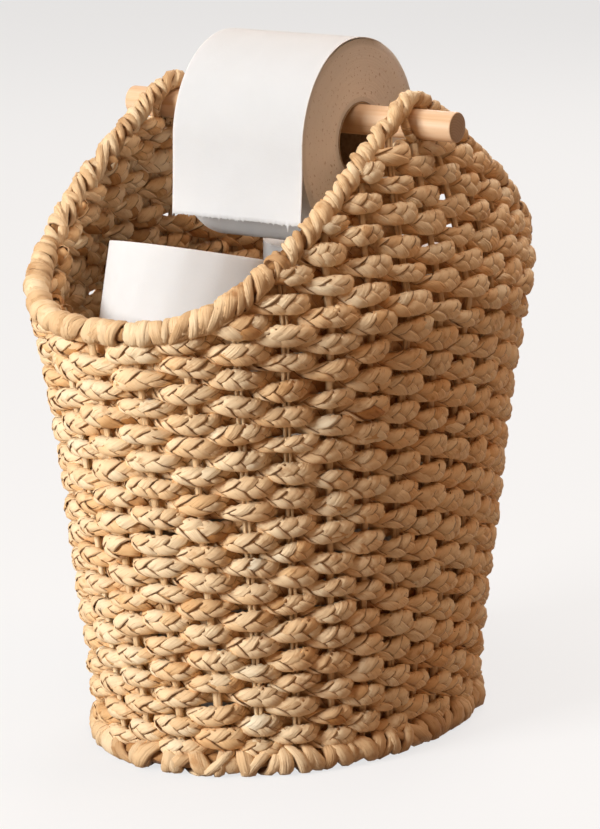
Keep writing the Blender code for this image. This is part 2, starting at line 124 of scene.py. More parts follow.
def addMapping(place, **moves):
    return addNode(place.id_data, "Mapping", "Vector", {"Vector": place, **moves})


def addRange(value, low, high, lowTo=0.0, highTo=1.0):
    entries = {"Value": value, "From Min": low, "From Max": high, "To Min": lowTo, "To Max": highTo}
    return addNode(value.id_data, "MapRange", "Result", entries)


def addRamp(value, stops):
    output = addNode(value.id_data, "ValToRGB", "Color", {"Fac": value})
    points = output.node.color_ramp.elements
    while len(points) < len(stops):
        points.new(0.5)
    for point, (place, colour) in zip(points, stops):
        point.position = place
        point.color = (*colour, 1.0)
    return output


def addMix(tree, kind, share, a, b):
    entries = {"Factor": share, "A": a, "B": b}
    return addNode(tree, "Mix", "Result", entries, data_type="RGBA", blend_type=kind)


def addBump(height, strength, distance, onto=None):
    entries = {"Height": height, "Strength": strength, "Distance": distance}
    if onto:
        entries["Normal"] = onto
    return addNode(height.id_data, "Bump", "Normal", entries)


def placeObject(name, data):
    made = bpy.data.objects.new(name, data)
    bpy.context.scene.collection.objects.link(made)
    return made


def giveMaterial(piece, made):
    piece.data.materials.clear()
    piece.data.materials.append(made)


def makeActive(piece):
    deselectAll()
    piece.select_set(True)
    bpy.context.view_layer.objects.active = piece


def pick(kind, wanted, clear=True):  # in edit mode; clear also lets go of what the others touch
    bpy.ops.mesh.select_all(action="DESELECT")
    shape = bmesh.from_edit_mesh(bpy.context.object.data)
    for part in getattr(shape, kind):
        if clear or wanted(part):
            part.select_set(wanted(part))
    bmesh.update_edit_mesh(bpy.context.object.data)


# the wall's lines

wall = {
    "footHalf": (0.0998, 0.1397),  # half width and half depth
    "mouthHalf": (0.1189, 0.1917), "mouthHeight": 0.2863, "mouthFlare": 0.0055, "flarePower": 8,
    "peakHalf": (0.0922, 0.108), "peakHeight": 0.4114, "climbPower": (1.1, 2.15), "stakes": 33,
    "firstStake": 0.5,  # share of the spacing from the right ear's middle
}


def wallHalfSizes(height):
    rise = np.minimum(height / wall["mouthHeight"], 1.0)
    flare = wall["mouthFlare"] * rise ** wall["flarePower"]
    climb = (height - wall["mouthHeight"]) / (wall["peakHeight"] - wall["mouthHeight"])
    climb = np.clip(climb, 0.0, 1.0)
    sizes = []
    keys = ("footHalf", "mouthHalf", "peakHalf", "climbPower")
    for foot, mouth, peak, power in zip(*(wall[key] for key in keys)):
        size = foot + (mouth - foot) * rise + flare
        sizes.append(size - (size - peak) * climb**power)
    return sizes


def wallPlace(angle, height, outwards=0.0):
    angle = np.atleast_1d(angle).astype(float)
    height = np.broadcast_to(height, angle.shape).astype(float)
    halfWidth, halfDepth = wallHalfSizes(height)
    normal = unit(np.stack([np.cos(angle) / halfWidth, np.sin(angle) / halfDepth, angle * 0], 1))
    place = np.stack([halfWidth * np.cos(angle), halfDepth * np.sin(angle), height], 1)
    return place + normal * np.broadcast_to(outwards, angle.shape)[:, None]


def wallUp(angle, height):
    return unit(wallPlace(angle, height + 0.002) - wallPlace(angle, height - 0.002))


fineAngles = np.linspace(0.0, 2 * pi, 2881)
finePlaces = wallPlace(fineAngles, wall["mouthHeight"] / 2)
fineLengths = lengthsAlong(finePlaces)


def angleRound(share):  # share of the way round the wall, from the right ear's middle
    share = np.atleast_1d(share).astype(float)
    turns = np.floor(share)
    return 2 * pi * turns + np.interp((share - turns) * fineLengths[-1], fineLengths, fineAngles)


def angleAt(stake):
    return angleRound((np.atleast_1d(stake) + wall["firstStake"]) / wall["stakes"])


rim = {
    "valleyRadius": 0.0072, "peakRadius": 0.0049, "overhang": 0.006, "gather": 0.2,
    "risePower": 3.56,
    "steepPower": 0.4,  # how soon the climbing rim takes on its steep binding
    "wander": (18, 0.0005), "lumps": (3.5, 0.06), "step": 0.0022,
}
rimBinding = {
    "pitch": 0.0063,
    "halfWidth": (0.0041, 0.0034),  # on the level and on the steepest climb
    "widthSpread": 0.2, "slant": (math.radians(9), math.radians(36)), "slantSpread": 0.24,
    "uneven": 0.00045, "tilt": 0.0006, "belly": (0.08, 0.34), "core": 0.72, "thick": (1.9, 3.8),
    "tone": 0.4,
    "joint": -pi / 2,  # the strands' ends are tucked in underneath
    "rings": 15,
}


def rimClimb(angle):
    return np.abs(np.cos(angle)) ** rim["risePower"]


def rimPlace(angle):
    climb = rimClimb(angle)
    height = wall["mouthHeight"] + (wall["peakHeight"] - wall["mouthHeight"]) * climb
    place = wallPlace(angle, height, rim["overhang"] * (1.0 - climb))
    place[:, 1] *= 1.0 - rim["gather"] * climb**6  # its two branches close in on the dowel
    return place


# strands: flat leaves swept along a line, many to a mesh


def emptyMesh():
    return {"verts": [], "quads": [], "uv": [], "caps": [], "tone": [], "paintedCreaseShade": [], "count": 0}


strand = {
    "folds": (9, 0.16),  # pairs like this are a wander's pace in samples, and its size
    "foldAside": 0.3,
    "ease": 12,  # rings over which the folds fade where a closed strand meets itself
    "flatness": 0.35,
}


def addSkins(mesh, places, leftwards, u, v, tone, paintedCreaseShade, closed=False):
    # places are by skin, ring along it and point round it
    skins, rings, points = places.shape[:3]
    mesh["verts"].append(places.reshape(-1, 3))
    base = mesh["count"] + np.arange(skins)[:, None, None] * rings * points
    i = np.arange(rings if closed else rings - 1)[:, None]
    j = np.arange(points)
    corners = ((0, 0), (0, 1), (1, 1), (1, 0)) if leftwards else ((0, 0), (1, 0), (1, 1), (0, 1))
    quads = [base + (i + a) % rings * points + (j + b) % points for a, b in corners]
    mesh["quads"].append(np.stack(quads, -1).reshape(-1, 4))
    uv = [np.broadcast_arrays(u[:, a : a + len(i), None], v[b : b + points]) for a, b in corners]
    mesh["uv"].append(np.stack([np.stack(pair, -1) for pair in uv], -2).reshape(-1, 2))
    for first in [] if closed else base.reshape(-1).tolist():
        mesh["caps"].append([first + k for k in range(points)][:: -1 if leftwards else 1])
        first += (rings - 1) * points
        mesh["caps"].append([first + k for k in range(points)][:: 1 if leftwards else -1])
    shape = (skins, rings, points)
    mesh["tone"].append(np.broadcast_to(tone[..., None], shape).reshape(-1))
    mesh["paintedCreaseShade"].append(np.broadcast_to(paintedCreaseShade, shape).reshape(-1))
    mesh["count"] += skins * rings * points


def addStrand(mesh, centre, facing, halfWidth, halfThick, sides, tone, closed=False, start=0.0):
    count = len(centre)
    along = directions(centre, closed)
    across = unit(np.cross(facing, along))
    outwards = np.cross(along, across)
    turn = np.arange(sides) / sides * 2 * pi
    folds = np.stack([drift(count, *strand["folds"]) for _ in range(sides)], 1)
    if closed:
        folds = folds * calmEnds(count, strand["ease"])[:, None]
    width = halfWidth[:, None] * np.cos(turn) * (1 + strand["foldAside"] * folds)
    thick = halfThick[:, None] * np.sin(turn) * np.abs(np.sin(turn)) ** strand["flatness"]
    thick = thick * (1 + folds)
    ring = centre[:, None, :] + across[:, None, :] * width[..., None]
    ring = ring + outwards[:, None, :] * thick[..., None]
    run = start + lengthsAlong(np.concatenate([centre, centre[:1] if closed else centre[-1:]]))
    # the strand's edges take painted shade, standing in for the shade in the creases beside them
    edge = np.abs(np.cos(turn)) ** 3
    addSkins(mesh, ring[None], True, run[None], np.arange(sides + 1) / sides, tone, edge, closed)


def finishMesh(name, mesh, made):
    verts = np.concatenate(mesh["verts"])
    quads = np.concatenate(mesh["quads"])
    data = bpy.data.meshes.new(name)
    data.from_pydata(verts.tolist(), [], quads.tolist() + mesh["caps"])
    uv = np.concatenate(mesh["uv"])
    spare = sum(len(cap) for cap in mesh["caps"])
    uv = np.concatenate([uv, np.zeros((spare, 2))])
    data.uv_layers.new(name="UVMap").data.foreach_set("uv", uv.reshape(-1).astype(np.float32))
    for key in ("tone", "paintedCreaseShade"):
        layer = data.attributes.new(key, "FLOAT", "POINT")
        layer.data.foreach_set("value", np.concatenate(mesh[key]).astype(np.float32))
    data.shade_smooth()
    piece = placeObject(name, data)
    giveMaterial(piece, made)
    return piece


# flat leaves laid on a rounded body that follows a line


def makeTrack(line, facing, halfHeight, halfThick, closed=False):
    along = directions(line, closed)
    steps = np.linalg.norm(np.roll(line, -1, 0) - line, axis=1)[: None if closed else -1]
    up = unit(np.cross(facing, along))
    ones = np.ones(len(line))
    track = {
        "line": line, "up": up, "out": np.cross(along, up), "along": along,
        "halfHeight": halfHeight * ones, "halfThick": halfThick * ones,
        "run": np.concatenate([[0.0], np.cumsum(steps)])[: len(line)],
        "length": steps.sum(), "closed": closed,
    }
    if not closed:  # a little more at both ends, so that the last leaves narrow and close
        tail, narrower = 0.02, 0.6
        track["run"] = np.concatenate([[-tail], track["run"], [steps.sum() + tail]])
        ends = (line[:1] - along[:1] * tail, line[-1:] + along[-1:] * tail)
        track["line"] = np.concatenate([ends[0], line, ends[1]])
        for key in ("up", "out", "along", "halfHeight", "halfThick"):
            share = narrower if key.startswith("half") else 1.0
            track[key] = np.concatenate([track[key][:1] * share, track[key], track[key][-1:] * share])
    return track


def readTrack(track, key, run):
    period = track["length"] if track["closed"] else None
    values = track[key]
    if values.ndim == 1:
        return np.interp(run, track["run"], values, period=period)
    return np.stack([np.interp(run, track["run"], values[:, k], period=period) for k in range(3)], -1)


def spread(size, leaves, rings=1):  # one draw for each leaf, or for each leaf and ring
    return rng.normal(0, size, (leaves, rings, 1))


def readHalves(track, run):
    return readTrack(track, "halfHeight", run), readTrack(track, "halfThick", run)


def sectionTable(flatness):  # the body's section by evenly spaced steps round it, from its front
    roundness = 0.9
    turn = np.linspace(0.0, 2 * pi, 721)
    aside = flatness * np.sign(np.sin(turn)) * np.abs(np.sin(turn)) ** roundness
    outwards = np.sign(np.cos(turn)) * np.abs(np.cos(turn)) ** roundness
    lengths = np.concatenate([[0.0], np.cumsum(np.hypot(np.diff(aside), np.diff(outwards)))])
    return lengths / lengths[-1] * 2 * pi, aside / flatness, outwards


# round a leaf, its outer face first: place as a share of the half width, height, and painted crease
# shade, which darkens its edges and underside
leafSection = np.array([
    (-1.00, -0.00045, 1.0), (-0.72, 0.00012, 0.0), (0.00, 0.00036, 0.0), (0.72, 0.00012, 0.0),
    (1.00, -0.00045, 1.0), (0.5, -0.0011, 1.0), (-0.5, -0.0011, 1.0),
])


def layLeaves(mesh, track, table, run, turn, height, tone, lengthwise):
    # run, turn and height are by leaf, ring along the leaf and point of its section
    turns, sides, outs = table
    sideways = np.interp(turn, turns, sides, period=2 * pi)
    outwards = np.interp(turn, turns, outs, period=2 * pi)
    halfHeight, halfThick = readHalves(track, run)
    place = readTrack(track, "line", run)
    place = place + readTrack(track, "up", run) * (sideways * (halfHeight + height))[..., None]
    place = place + readTrack(track, "out", run) * (outwards * (halfThick + height))[..., None]
    u = rng.uniform(0.0, 3.0, len(run))[:, None] + lengthwise
    v = leafSection[:, 0] * 0.25 + 0.25
    addSkins(mesh, place, False, u, np.append(v, v[0]), tone, leafSection[:, 2])


# Three flat strands plaited round a line: each comes out at the middle from under another,
# runs slanting over the edge to the back and goes in again, by turns above and below.

plait = {
    "table": sectionTable(1.45), "rings": 8, "overrun": 0.1,
    "cover": 1.34,  # leaf width as a share of the room between one and the next
    "widthSpread": 0.12, "belly": 0.05, "wavyEdge": 0.04,
    "dip": 0.34,  # how deep a leaf's ends go in, as a share of the half thickness
    "phaseDrift": 0.1, "slip": 0.02, "skew": 0.16, "turnSpread": 0.08,
    "fullThick": 0.0044,  # half thickness of the rope whose leaves have the section's own height
    "lift": 0.00022, "tilt": 0.00028, "ripple": 0.00016, "toneSpread": 0.13, "toneRipple": 0.03,
    # the hidden core has a darker tone: painted shade for the gaps between leaves
    "coreShare": 0.78, "coreSides": 6, "paintedShadeCoreTone": 0.17,
    "frayed": 0.05,  # share of the leaves whose tips stand out
    "fray": 0.0042, "tipStart": 0.62, "tipReach": 0.48, "tipNarrowing": 0.8,
}


def addPlait(mesh, line, facing, halfHeight, halfThick, plaitLength, toneShift=0.0):
    track = makeTrack(line, facing, halfHeight, halfThick)
    samples = len(track["run"])
    every = max(3, int(plaitLength / 3 / (track["length"] / len(line))))  # samples to a lobe
    phase = track["run"] / plaitLength + drift(samples, every * 4, plait["phaseDrift"])
    slowTone = drift(samples, every * 6, plait["toneSpread"] * 0.6)
    slowTone = slowTone + np.pad(toneShift * np.ones(len(line)), 1, mode="edge")
    begin = rng.uniform(0.0, 1.0)
    starts = []  # each leaf's start in plait lengths, and whether it goes above or below
    for strandStart in (begin, begin + 1 / 3, begin + 2 / 3):
        first = math.ceil(2 * (phase[1] - strandStart))
        last = math.floor(2 * (phase[-2] - strandStart)) - 1
        for loop in range(first, last + 1):
            starts.append((strandStart + loop / 2, 1.0 if loop % 2 else -1.0))
    starts = np.array(starts)
    leaves = len(starts)
    start, side = starts[:, 0][:, None, None], starts[:, 1][:, None, None]
    overrun, rings = plait["overrun"], plait["rings"]
    progress = np.linspace(-overrun, 1.0 + overrun, rings)[None, :, None]
    across, level = leafSection[:, 0], leafSection[:, 1]
    middle = np.interp(starts[:, 0] + 0.25, phase, track["run"])
    here = readHalves(track, middle)
    halfRound = (pi * np.sqrt((here[0] ** 2 + here[1] ** 2) / 2))[:, None, None]
    reach = np.hypot(plaitLength / 2, halfRound)
    halfWidth = plaitLength / 6 * halfRound / reach * plait["cover"]
    halfWidth = halfWidth * (1 + spread(plait["widthSpread"], leaves))
    belly = plait["belly"] * np.sin(pi * progress)
    halfWidth = halfWidth * (1 + belly + plait["wavyEdge"] * spread(1, leaves, rings))
    frayed = (rng.random(leaves) < plait["frayed"]) * rng.uniform(0.4, 1.0, leaves)
    frayed = frayed[:, None, None]
    tip = np.clip((progress - plait["tipStart"]) / plait["tipReach"], 0.0, 1.0)
    halfWidth = halfWidth * (1 - plait["tipNarrowing"] * tip**2 * (frayed > 0))
    slip = spread(plait["slip"], leaves)
    slant = 1 + spread(plait["skew"], leaves) * (progress - 0.5)
    aside = side * halfRound / reach * across * halfWidth / plaitLength * slant
    run = np.interp(start + progress / 2 + slip - aside, phase, track["run"])
    turn = side * pi * progress
    turn = turn + across * halfWidth * (plaitLength / 2) / reach / halfRound * pi
    turn = turn + spread(plait["turnSpread"], leaves)
    thick = np.mean(halfThick)
    height = level * (thick / plait["fullThick"]) ** 0.5
    height = height - plait["dip"] * thick * np.abs(2 * progress - 1) ** 3
    height = height + np.abs(spread(plait["lift"], leaves)) + plait["fray"] * frayed * tip**1.3
    height = height + across * (spread(plait["tilt"], leaves) + spread(plait["ripple"], leaves, rings))
    tone = 0.5 + plait["toneSpread"] * rng.normal(0, 1, leaves)
    tone = tone + np.interp(middle, track["run"], slowTone)
    tone = tone[:, None] + rng.normal(0, plait["toneRipple"], (leaves, rings))
    layLeaves(mesh, track, plait["table"], run, turn, height, tone, (progress * reach)[:, :, 0])
    few = slice(None, None, 3)
    core = plait["coreShare"] * np.ones(len(line))
    body = line[few]
    addStrand(
        # the core strand carries the painted shade seen through the gaps
        mesh, body, track["out"][1:-1][few], (halfHeight * core)[few], (halfThick * core)[few],
        plait["coreSides"], np.full(len(body), plait["paintedShadeCoreTone"]),
    )


# Flat strands bound round a closed line, as on a hoop, each with its own width and slant.
# A binding's half width, slant, belly and thickness are one number, or one for each point.

wraps = {
    "unevenPitch": 0.28,
    "overlap": 1.06,  # turns that each strand makes
    "before": 0.19, "wavyEdge": 0.07, "twistShare": 0.7, "tiltShare": 0.6, "endDip": 0.001,
    # the hidden core has a darker tone: painted shade for the gaps between wraps
    "toneSpread": 0.12, "toneRipple": 0.04, "coreSides": 8, "paintedShadeCoreTone": 0.03,
}


def addWraps(mesh, line, facing, radiusOut, radiusUp, binding):
    track = makeTrack(line, facing, radiusUp, radiusOut, closed=True)
    table = sectionTable(float(np.mean(radiusUp) / np.mean(radiusOut)))
    count = round(track["length"] / binding["pitch"])
    rings = binding["rings"]
    uneven = rng.uniform(-wraps["unevenPitch"], wraps["unevenPitch"], count)
    spots = (np.arange(count) + uneven) * track["length"] / count

    def alongLine(key):
        values = binding[key] * np.ones(len(line))
        return np.interp(spots, track["run"], values, period=track["length"])[:, None, None]

    progress = np.linspace(0.0, 1.0, rings)[None, :, None]
    turn = binding["joint"] + 2 * pi * progress * wraps["overlap"] - wraps["before"]
    across, level = leafSection[:, 0], leafSection[:, 1] * alongLine("thick")
    radius = (sum(readHalves(track, spots)) / 2)[:, None, None]
    slant = alongLine("slant") + spread(binding["slantSpread"], count)
    halfWidth = alongLine("halfWidth") * np.exp(spread(binding["widthSpread"], count))
    wavy = wraps["wavyEdge"] * spread(1, count, rings)
    halfWidth = halfWidth * (1 + wavy + alongLine("belly") * np.cos(turn))
    twistSpread = binding["slantSpread"] * wraps["twistShare"]
    twist = rng.normal(0, twistSpread, (count, 2))[:, :, None, None]
    bow = twist[:, 0] * np.sin(2 * pi * progress) + twist[:, 1] * np.cos(2 * pi * progress)
    run = spots[:, None, None] + radius * (np.tan(slant) * (turn - binding["joint"] - pi) + bow)
    run = run - across * halfWidth * np.cos(slant)
    turn = turn + across * halfWidth * np.sin(slant) / radius
    height = level + spread(binding["uneven"], count)
    height = height + across * (binding["tilt"] + spread(binding["uneven"] * wraps["tiltShare"], count))
    height = height - wraps["endDip"] * np.abs(2 * progress - 1) ** 8
    tone = (binding["tone"] + wraps["toneSpread"] * rng.normal(0, 1, count))[:, None]
    tone = tone + rng.normal(0, wraps["toneRipple"], (count, rings))
    layLeaves(mesh, track, table, run, turn, height, tone, (progress * 2 * pi * radius)[:, :, 0])
    core = binding["core"] * np.ones(len(line))
    addStrand(
        mesh, line, track["out"], radiusUp * core, radiusOut * core,
        wraps["coreSides"], np.full(len(line), wraps["paintedShadeCoreTone"]), closed=True,
    )


# materials of plant fibre


fibre = {
    "noise": 1.7,
    "grain": (60.0, 16.0, 1.0),  # fibres run along the leaf: long in u, fine in v
    "drawn": (22.0, 5.0, 1.0),  # a few lengthwise folds
    "streaks": [(0.29, (0.66, 0.5, 0.35)), (0.41, (1.0, 1.0, 0.99)), (0.72, (1.03, 1.07, 1.1))],
    "blotchScale": 85.0,
    "blotches": [(0.28, (0.66, 0.48, 0.32)), (0.4, (1.0, 1.0, 1.0))],
    # where the painted crease shade begins on a leaf's edge
    "blotchShare": 0.75, "paintedCreaseStart": 0.42,
}


def strandMaterial(name, kind):
    roughness = kind["roughness"]
    made, tree, shader = newMaterial(name, kind["stops"][len(kind["stops"]) // 2][1], roughness)
    tone = addNode(tree, "Attribute", "Fac", attribute_name="tone")
    paintedCreaseShade = addNode(tree, "Attribute", "Fac", attribute_name="paintedCreaseShade")
    uv = addNode(tree, "UVMap", "UV", uv_map="UVMap")
    place = addNode(tree, "TexCoord", "Object")
    fibres = addNoise(addMapping(uv, Scale=fibre["grain"]), fibre["noise"], 6.0, 0.62)
    streaks = addRamp(fibres, fibre["streaks"])
    colour = addMix(tree, "MULTIPLY", 1.0, addRamp(tone, kind["stops"]), streaks)
    blotches = addRamp(addNoise(place, fibre["blotchScale"], 4.0), fibre["blotches"])
    colour = addMix(tree, "MULTIPLY", fibre["blotchShare"], colour, blotches)
    # painted shade: edges and undersides of the leaves darken towards the crease colour, standing in
    # for the shade in the creases between them
    paintedCreaseAmount = addRange(paintedCreaseShade, fibre["paintedCreaseStart"], 1.0, 0.0, kind["paintedCreaseShare"])
    colour = addMix(tree, "MIX", paintedCreaseAmount, colour, (*kind["paintedCreaseShade"], 1.0))
    enter(colour, shader, "Base Color")
    folds = addNoise(addMapping(uv, Scale=fibre["drawn"]), fibre["noise"], 2.0)
    relief = addBump(folds, 0.6, 0.0022, addBump(fibres, 0.65, 0.0013))
    enter(relief, shader, "Normal")
    gloss = addRange(fibres, 0.0, 1.0, roughness - 0.12, roughness + 0.14)
    enter(gloss, shader, "Roughness")
    return made


hyacinth = {
    "stops": [
        (0.04, (0.52, 0.24, 0.075)), (0.2, (0.87, 0.54, 0.26)), (0.46, (0.97, 0.7, 0.415)),
        (0.75, (0.98, 0.77, 0.5)), (0.97, (0.98, 0.84, 0.61)),
    ],
    # the crease colour is painted shade for the leaves' edges and undersides
    "paintedCreaseShade": (0.33, 0.13, 0.035), "paintedCreaseShare": 0.85, "roughness": 0.62,
}
wrapping = {
    "stops": [
        (0.06, (0.46, 0.23, 0.085)), (0.35, (0.82, 0.55, 0.3)), (0.6, (0.91, 0.68, 0.42)),
        (0.92, (0.96, 0.79, 0.55)),
    ],
    # the crease colour is painted shade for the strands' edges and undersides
    "paintedCreaseShade": (0.13, 0.045, 0.01), "paintedCreaseShare": 0.8, "roughness": 0.6,
}
plaitMaterial = strandMaterial("plaited hyacinth", hyacinth)
wrapMaterial = strandMaterial("wrapping strand", wrapping)
print("fibre materials made")


# the wall of plaited rope

rope = {
    "coursePitch": 0.0086, "courseHeight": 0.0082, "firstCourse": 0.0205, "turns": 29,
    "spiralStart": 8, "lengths": 4,
    "tucked": 34,  # the rope's first round starts down in the foot ring
    "lowest": 0.015,
    "swing": 0.0062,  # how far its middle passes outside and inside of the stakes
    "halfHeight": 0.0065,  # where it bulges out round a stake
    "crossingHalfHeight": 0.0048, "unevenHeight": (13, 0.11),
    "outward": 0.22,  # it crosses the wall's middle a little late, so the outer bulges are the longer
    "halfThick": 0.0047, "plaitLength": 0.0325, "step": 0.0019,
    "slack": 1.08,  # its winding way is a little longer than the wall's
    "wander": (12, 0.001), "sway": (10, 0.0004),
    "slip": (16, 0.085),  # share of the spacing by which a bulge stands beside its stake
    "squareness": 1.6,
    "paintedRecessShade": 0.22,  # painted shade: the inner bulges, set back behind the stakes, get a darker, browner tone
    "paintedRecessShadeStart": 0.25,
}


def spiralHeight(stake):
    height = rope["firstCourse"] + rope["coursePitch"] * (stake - rope["spiralStart"]) / wall["stakes"]
    return np.maximum(height, rope["lowest"])


def addRope(mesh, first, last, heightAt, tallest):
    spacing = fineLengths[-1] / wall["stakes"]
    count = max(4, int((last - first) * spacing * rope["slack"] / rope["step"]))
    stake = np.linspace(first, last, count)
    angle = angleAt(stake)
    height = heightAt(stake)
    wave = np.cos(pi * (stake + drift(count, *rope["slip"])))
    swing = np.tanh(rope["squareness"] * wave) / math.tanh(rope["squareness"])
    swing = swing + rope["outward"] * (1 - swing**2)
    line = wallPlace(angle, height, rope["swing"] * swing + drift(count, *rope["sway"]))
    line[:, 2] += drift(count, *rope["wander"])
    facing = unit(np.cross(directions(line), wallUp(angle, height)))
    full = rope["crossingHalfHeight"] + (tallest - rope["crossingHalfHeight"]) * np.abs(wave)
    full = full * (1 + drift(count, *rope["unevenHeight"]))
    # painted shade: bulges that pass inside the stakes, into the wall's recesses, get a darker tone
    paintedRecessShade = rope["paintedRecessShade"] * np.clip(rope["paintedRecessShadeStart"] - wave, 0.0, 1.0)
    addPlait(mesh, line, facing, full, rope["halfThick"], rope["plaitLength"], toneShift=-paintedRecessShade)


span = rope["turns"] * wall["stakes"]
cuts = [rope["spiralStart"] + int(span * i / rope["lengths"]) + 0.5 for i in range(rope["lengths"])]
cuts[0] -= rope["tucked"]
cuts.append(rope["spiralStart"] + span - 0.5)
for i in range(rope["lengths"]):
    mesh = emptyMesh()
    addRope(mesh, cuts[i], cuts[i + 1], spiralHeight, rope["halfHeight"])
    piece = finishMesh(f"braidLength{i + 1}", mesh, plaitMaterial)
    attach(piece, "basket")
    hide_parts(f"braid_length_{i + 1}")
print("braid lengths made")

ear = {
    "seatHeight": 0.3864,  # underside of the dowel
    "rimCover": 0.002,  # how near to the rim's middle line a row runs before it is hidden
    "endGap": 0.1, "topHalfHeight": 0.005,
}


def addEar(mesh, middle):
    lastCourse = middle + wall["stakes"] * int((rope["spiralStart"] + span - middle) / wall["stakes"])
    lowest = spiralHeight(lastCourse) + rope["courseHeight"] / 2
    rows = round((ear["seatHeight"] - lowest) / rope["coursePitch"])
    pitch = (ear["seatHeight"] - lowest) / rows
    for row in range(1, rows + 1):
        centre = lastCourse + row * wall["stakes"]

        def heightAt(stake):
            return lowest + pitch * (row - 0.5) + spiralHeight(stake) - spiralHeight(centre)

        reach = np.linspace(0.0, wall["stakes"] / 4 - ear["endGap"], 2000)
        ends = []
        for side in (-1, 1):
            stake = centre + side * reach
            hidden = rimPlace(angleAt(stake))[:, 2] - heightAt(stake) < ear["rimCover"]
            ends.append(stake[np.argmax(hidden) if hidden.any() else -1])
        tallest = ear["topHalfHeight"] if row == rows else rope["halfHeight"]
        addRope(mesh, ends[0], ends[1], heightAt, tallest)


for name, middle in (("Right", -wall["firstStake"]), ("Left", wall["stakes"] / 2 - wall["firstStake"])):
    mesh = emptyMesh()
    addEar(mesh, middle)
    piece = finishMesh(f"earBraid{name}", mesh, plaitMaterial)
    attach(piece, "basket")
    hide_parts(f"ear_braid_{name.lower()}")
print("ear braids made")


# the rim


def closedLine(placeAt, spacing):  # evenly spaced points of a closed line given by angle
    angles = np.linspace(0.0, 2 * pi, 4001)
    places = placeAt(angles)
    lengths = lengthsAlong(places)
    count = int(lengths[-1] / spacing)
    even = np.interp(np.arange(count) / count * lengths[-1], lengths, angles)
    return even, placeAt(even)


angles, line = closedLine(rimPlace, rim["step"])
line += np.stack([loopDrift(len(line), *rim["wander"]) for _ in range(3)], 1)
facing = wallPlace(angles, 0.2, 1.0) - wallPlace(angles, 0.2)
radius = rim["valleyRadius"] + (rim["peakRadius"] - rim["valleyRadius"]) * rimClimb(angles)
radius = radius * (1 + loopDrift(len(line), *rim["lumps"]))
steepness = rimClimb(angles) ** rim["steepPower"]
for key in ("halfWidth", "slant", "belly", "thick"):
    low, high = rimBinding[key]
    rimBinding[key] = low + (high - low) * steepness
mesh = emptyMesh()
addWraps(mesh, line, facing, radius, radius, rimBinding)
piece = finishMesh("rimWrap", mesh, wrapMaterial)
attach(piece, "basket")
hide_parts("rim_wrap")
print("rim made")


# a bound loop closes the rim's arch under the dowel at each ear

eye = {
    "centreHeight": 0.3966, "radius": 0.0131, "boundRadius": 0.0027, "tilt": 0.25, "step": 0.0012,
}
eyeBinding = {
    "pitch": 0.0036, "halfWidth": 0.0024, "widthSpread": 0.2, "slant": 0.35, "slantSpread": 0.1,
    "uneven": 0.0001, "tilt": 0.0002, "belly": 0.0, "core": 0.8, "thick": 0.6, "tone": 0.35,
    "joint": pi, "rings": 11,
}
for name, side in (("Right", 1), ("Left", -1)):
    count = int(2 * pi * eye["radius"] / eye["step"])
    turn = np.linspace(0.0, 2 * pi, count, endpoint=False)
    height = eye["centreHeight"] + eye["radius"] * np.sin(turn)
    halfWidth, halfDepth = wallHalfSizes(height)
    across = eye["radius"] * np.cos(turn)
    line = np.stack([side * halfWidth * np.sqrt(1 - (across / halfDepth) ** 2), across, height], 1)
    facing = np.array([side, 0.0, eye["tilt"]])
    radius = eye["boundRadius"] * np.ones(len(line))
    mesh = emptyMesh()
    addWraps(mesh, line, facing, radius, radius, eyeBinding)
    piece = finishMesh(f"dowelEye{name}", mesh, wrapMaterial)
    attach(piece, "basket")


# the foot ring and the floor

foot = {
    "height": 0.0165, "halfThickness": 0.0105, "overhang": 0.0035, "lumps": (4, 0.07),
    "step": 0.0022,
}
footBinding = {
    "pitch": 0.0072, "halfWidth": 0.0034, "widthSpread": 0.22, "slant": math.radians(4),
    "slantSpread": 0.34, "uneven": 0.0009, "tilt": 0.0006, "belly": 0.4, "core": 0.66,
    "thick": 4.6, "tone": 0.38, "joint": pi, "rings": 15,
}


def footPlace(angle):
    place = wallPlace(angle, 0.0, foot["overhang"])
    place[:, 2] = foot["height"] / 2
    return place


angles, line = closedLine(footPlace, foot["step"])
facing = wallPlace(angles, 0.0, 1.0) - wallPlace(angles, 0.0)
mesh = emptyMesh()
lump = 1 + loopDrift(len(angles), *foot["lumps"])
addWraps(mesh, line, facing, foot["halfThickness"] * lump, foot["height"] / 2 * lump, footBinding)
for part in mesh["verts"]:
    part[:, 2] = np.maximum(part[:, 2], 0.0)  # it stands flat on the floor
piece = finishMesh("footRing", mesh, wrapMaterial)
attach(piece, "basket")
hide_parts("foot_ring")

coil = {
    "halfWidth": 0.088, "extraDepth": 0.039, "middle": 0.0049, "lowest": 0.0003, "pitch": 0.0118,
    "openTurns": 0.15,  # left out in the middle
    "halfHeight": 0.0066, "halfThick": 0.0026, "plaitLength": 0.027, "step": 0.0022,
}
turns = coil["halfWidth"] / coil["pitch"] - coil["openTurns"]
swirl = np.linspace(0.0, 2 * pi * turns, 6000)
halfWidth = coil["halfWidth"] - coil["pitch"] * swirl / 2 / pi
halfDepth = halfWidth + coil["extraDepth"]
places = np.stack([halfWidth * np.cos(swirl), halfDepth * np.sin(swirl), swirl * 0], 1)
lengths = lengthsAlong(places)
even = np.linspace(0.0, lengths[-1], int(lengths[-1] / coil["step"]))
line = np.stack([np.interp(even, lengths, places[:, k]) for k in range(3)], 1)
line[:, 2] = coil["middle"]
mesh = emptyMesh()
facing = np.array([0.0, 0.0, 1.0])
halfHeight = coil["halfHeight"] * np.ones(len(line))
addPlait(mesh, line, facing, halfHeight, coil["halfThick"], coil["plaitLength"])
for part in mesh["verts"]:
    part[:, 2] = np.maximum(part[:, 2], coil["lowest"])
piece = finishMesh("floorCoil", mesh, plaitMaterial)
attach(piece, "basket")
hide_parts("floor_panel")
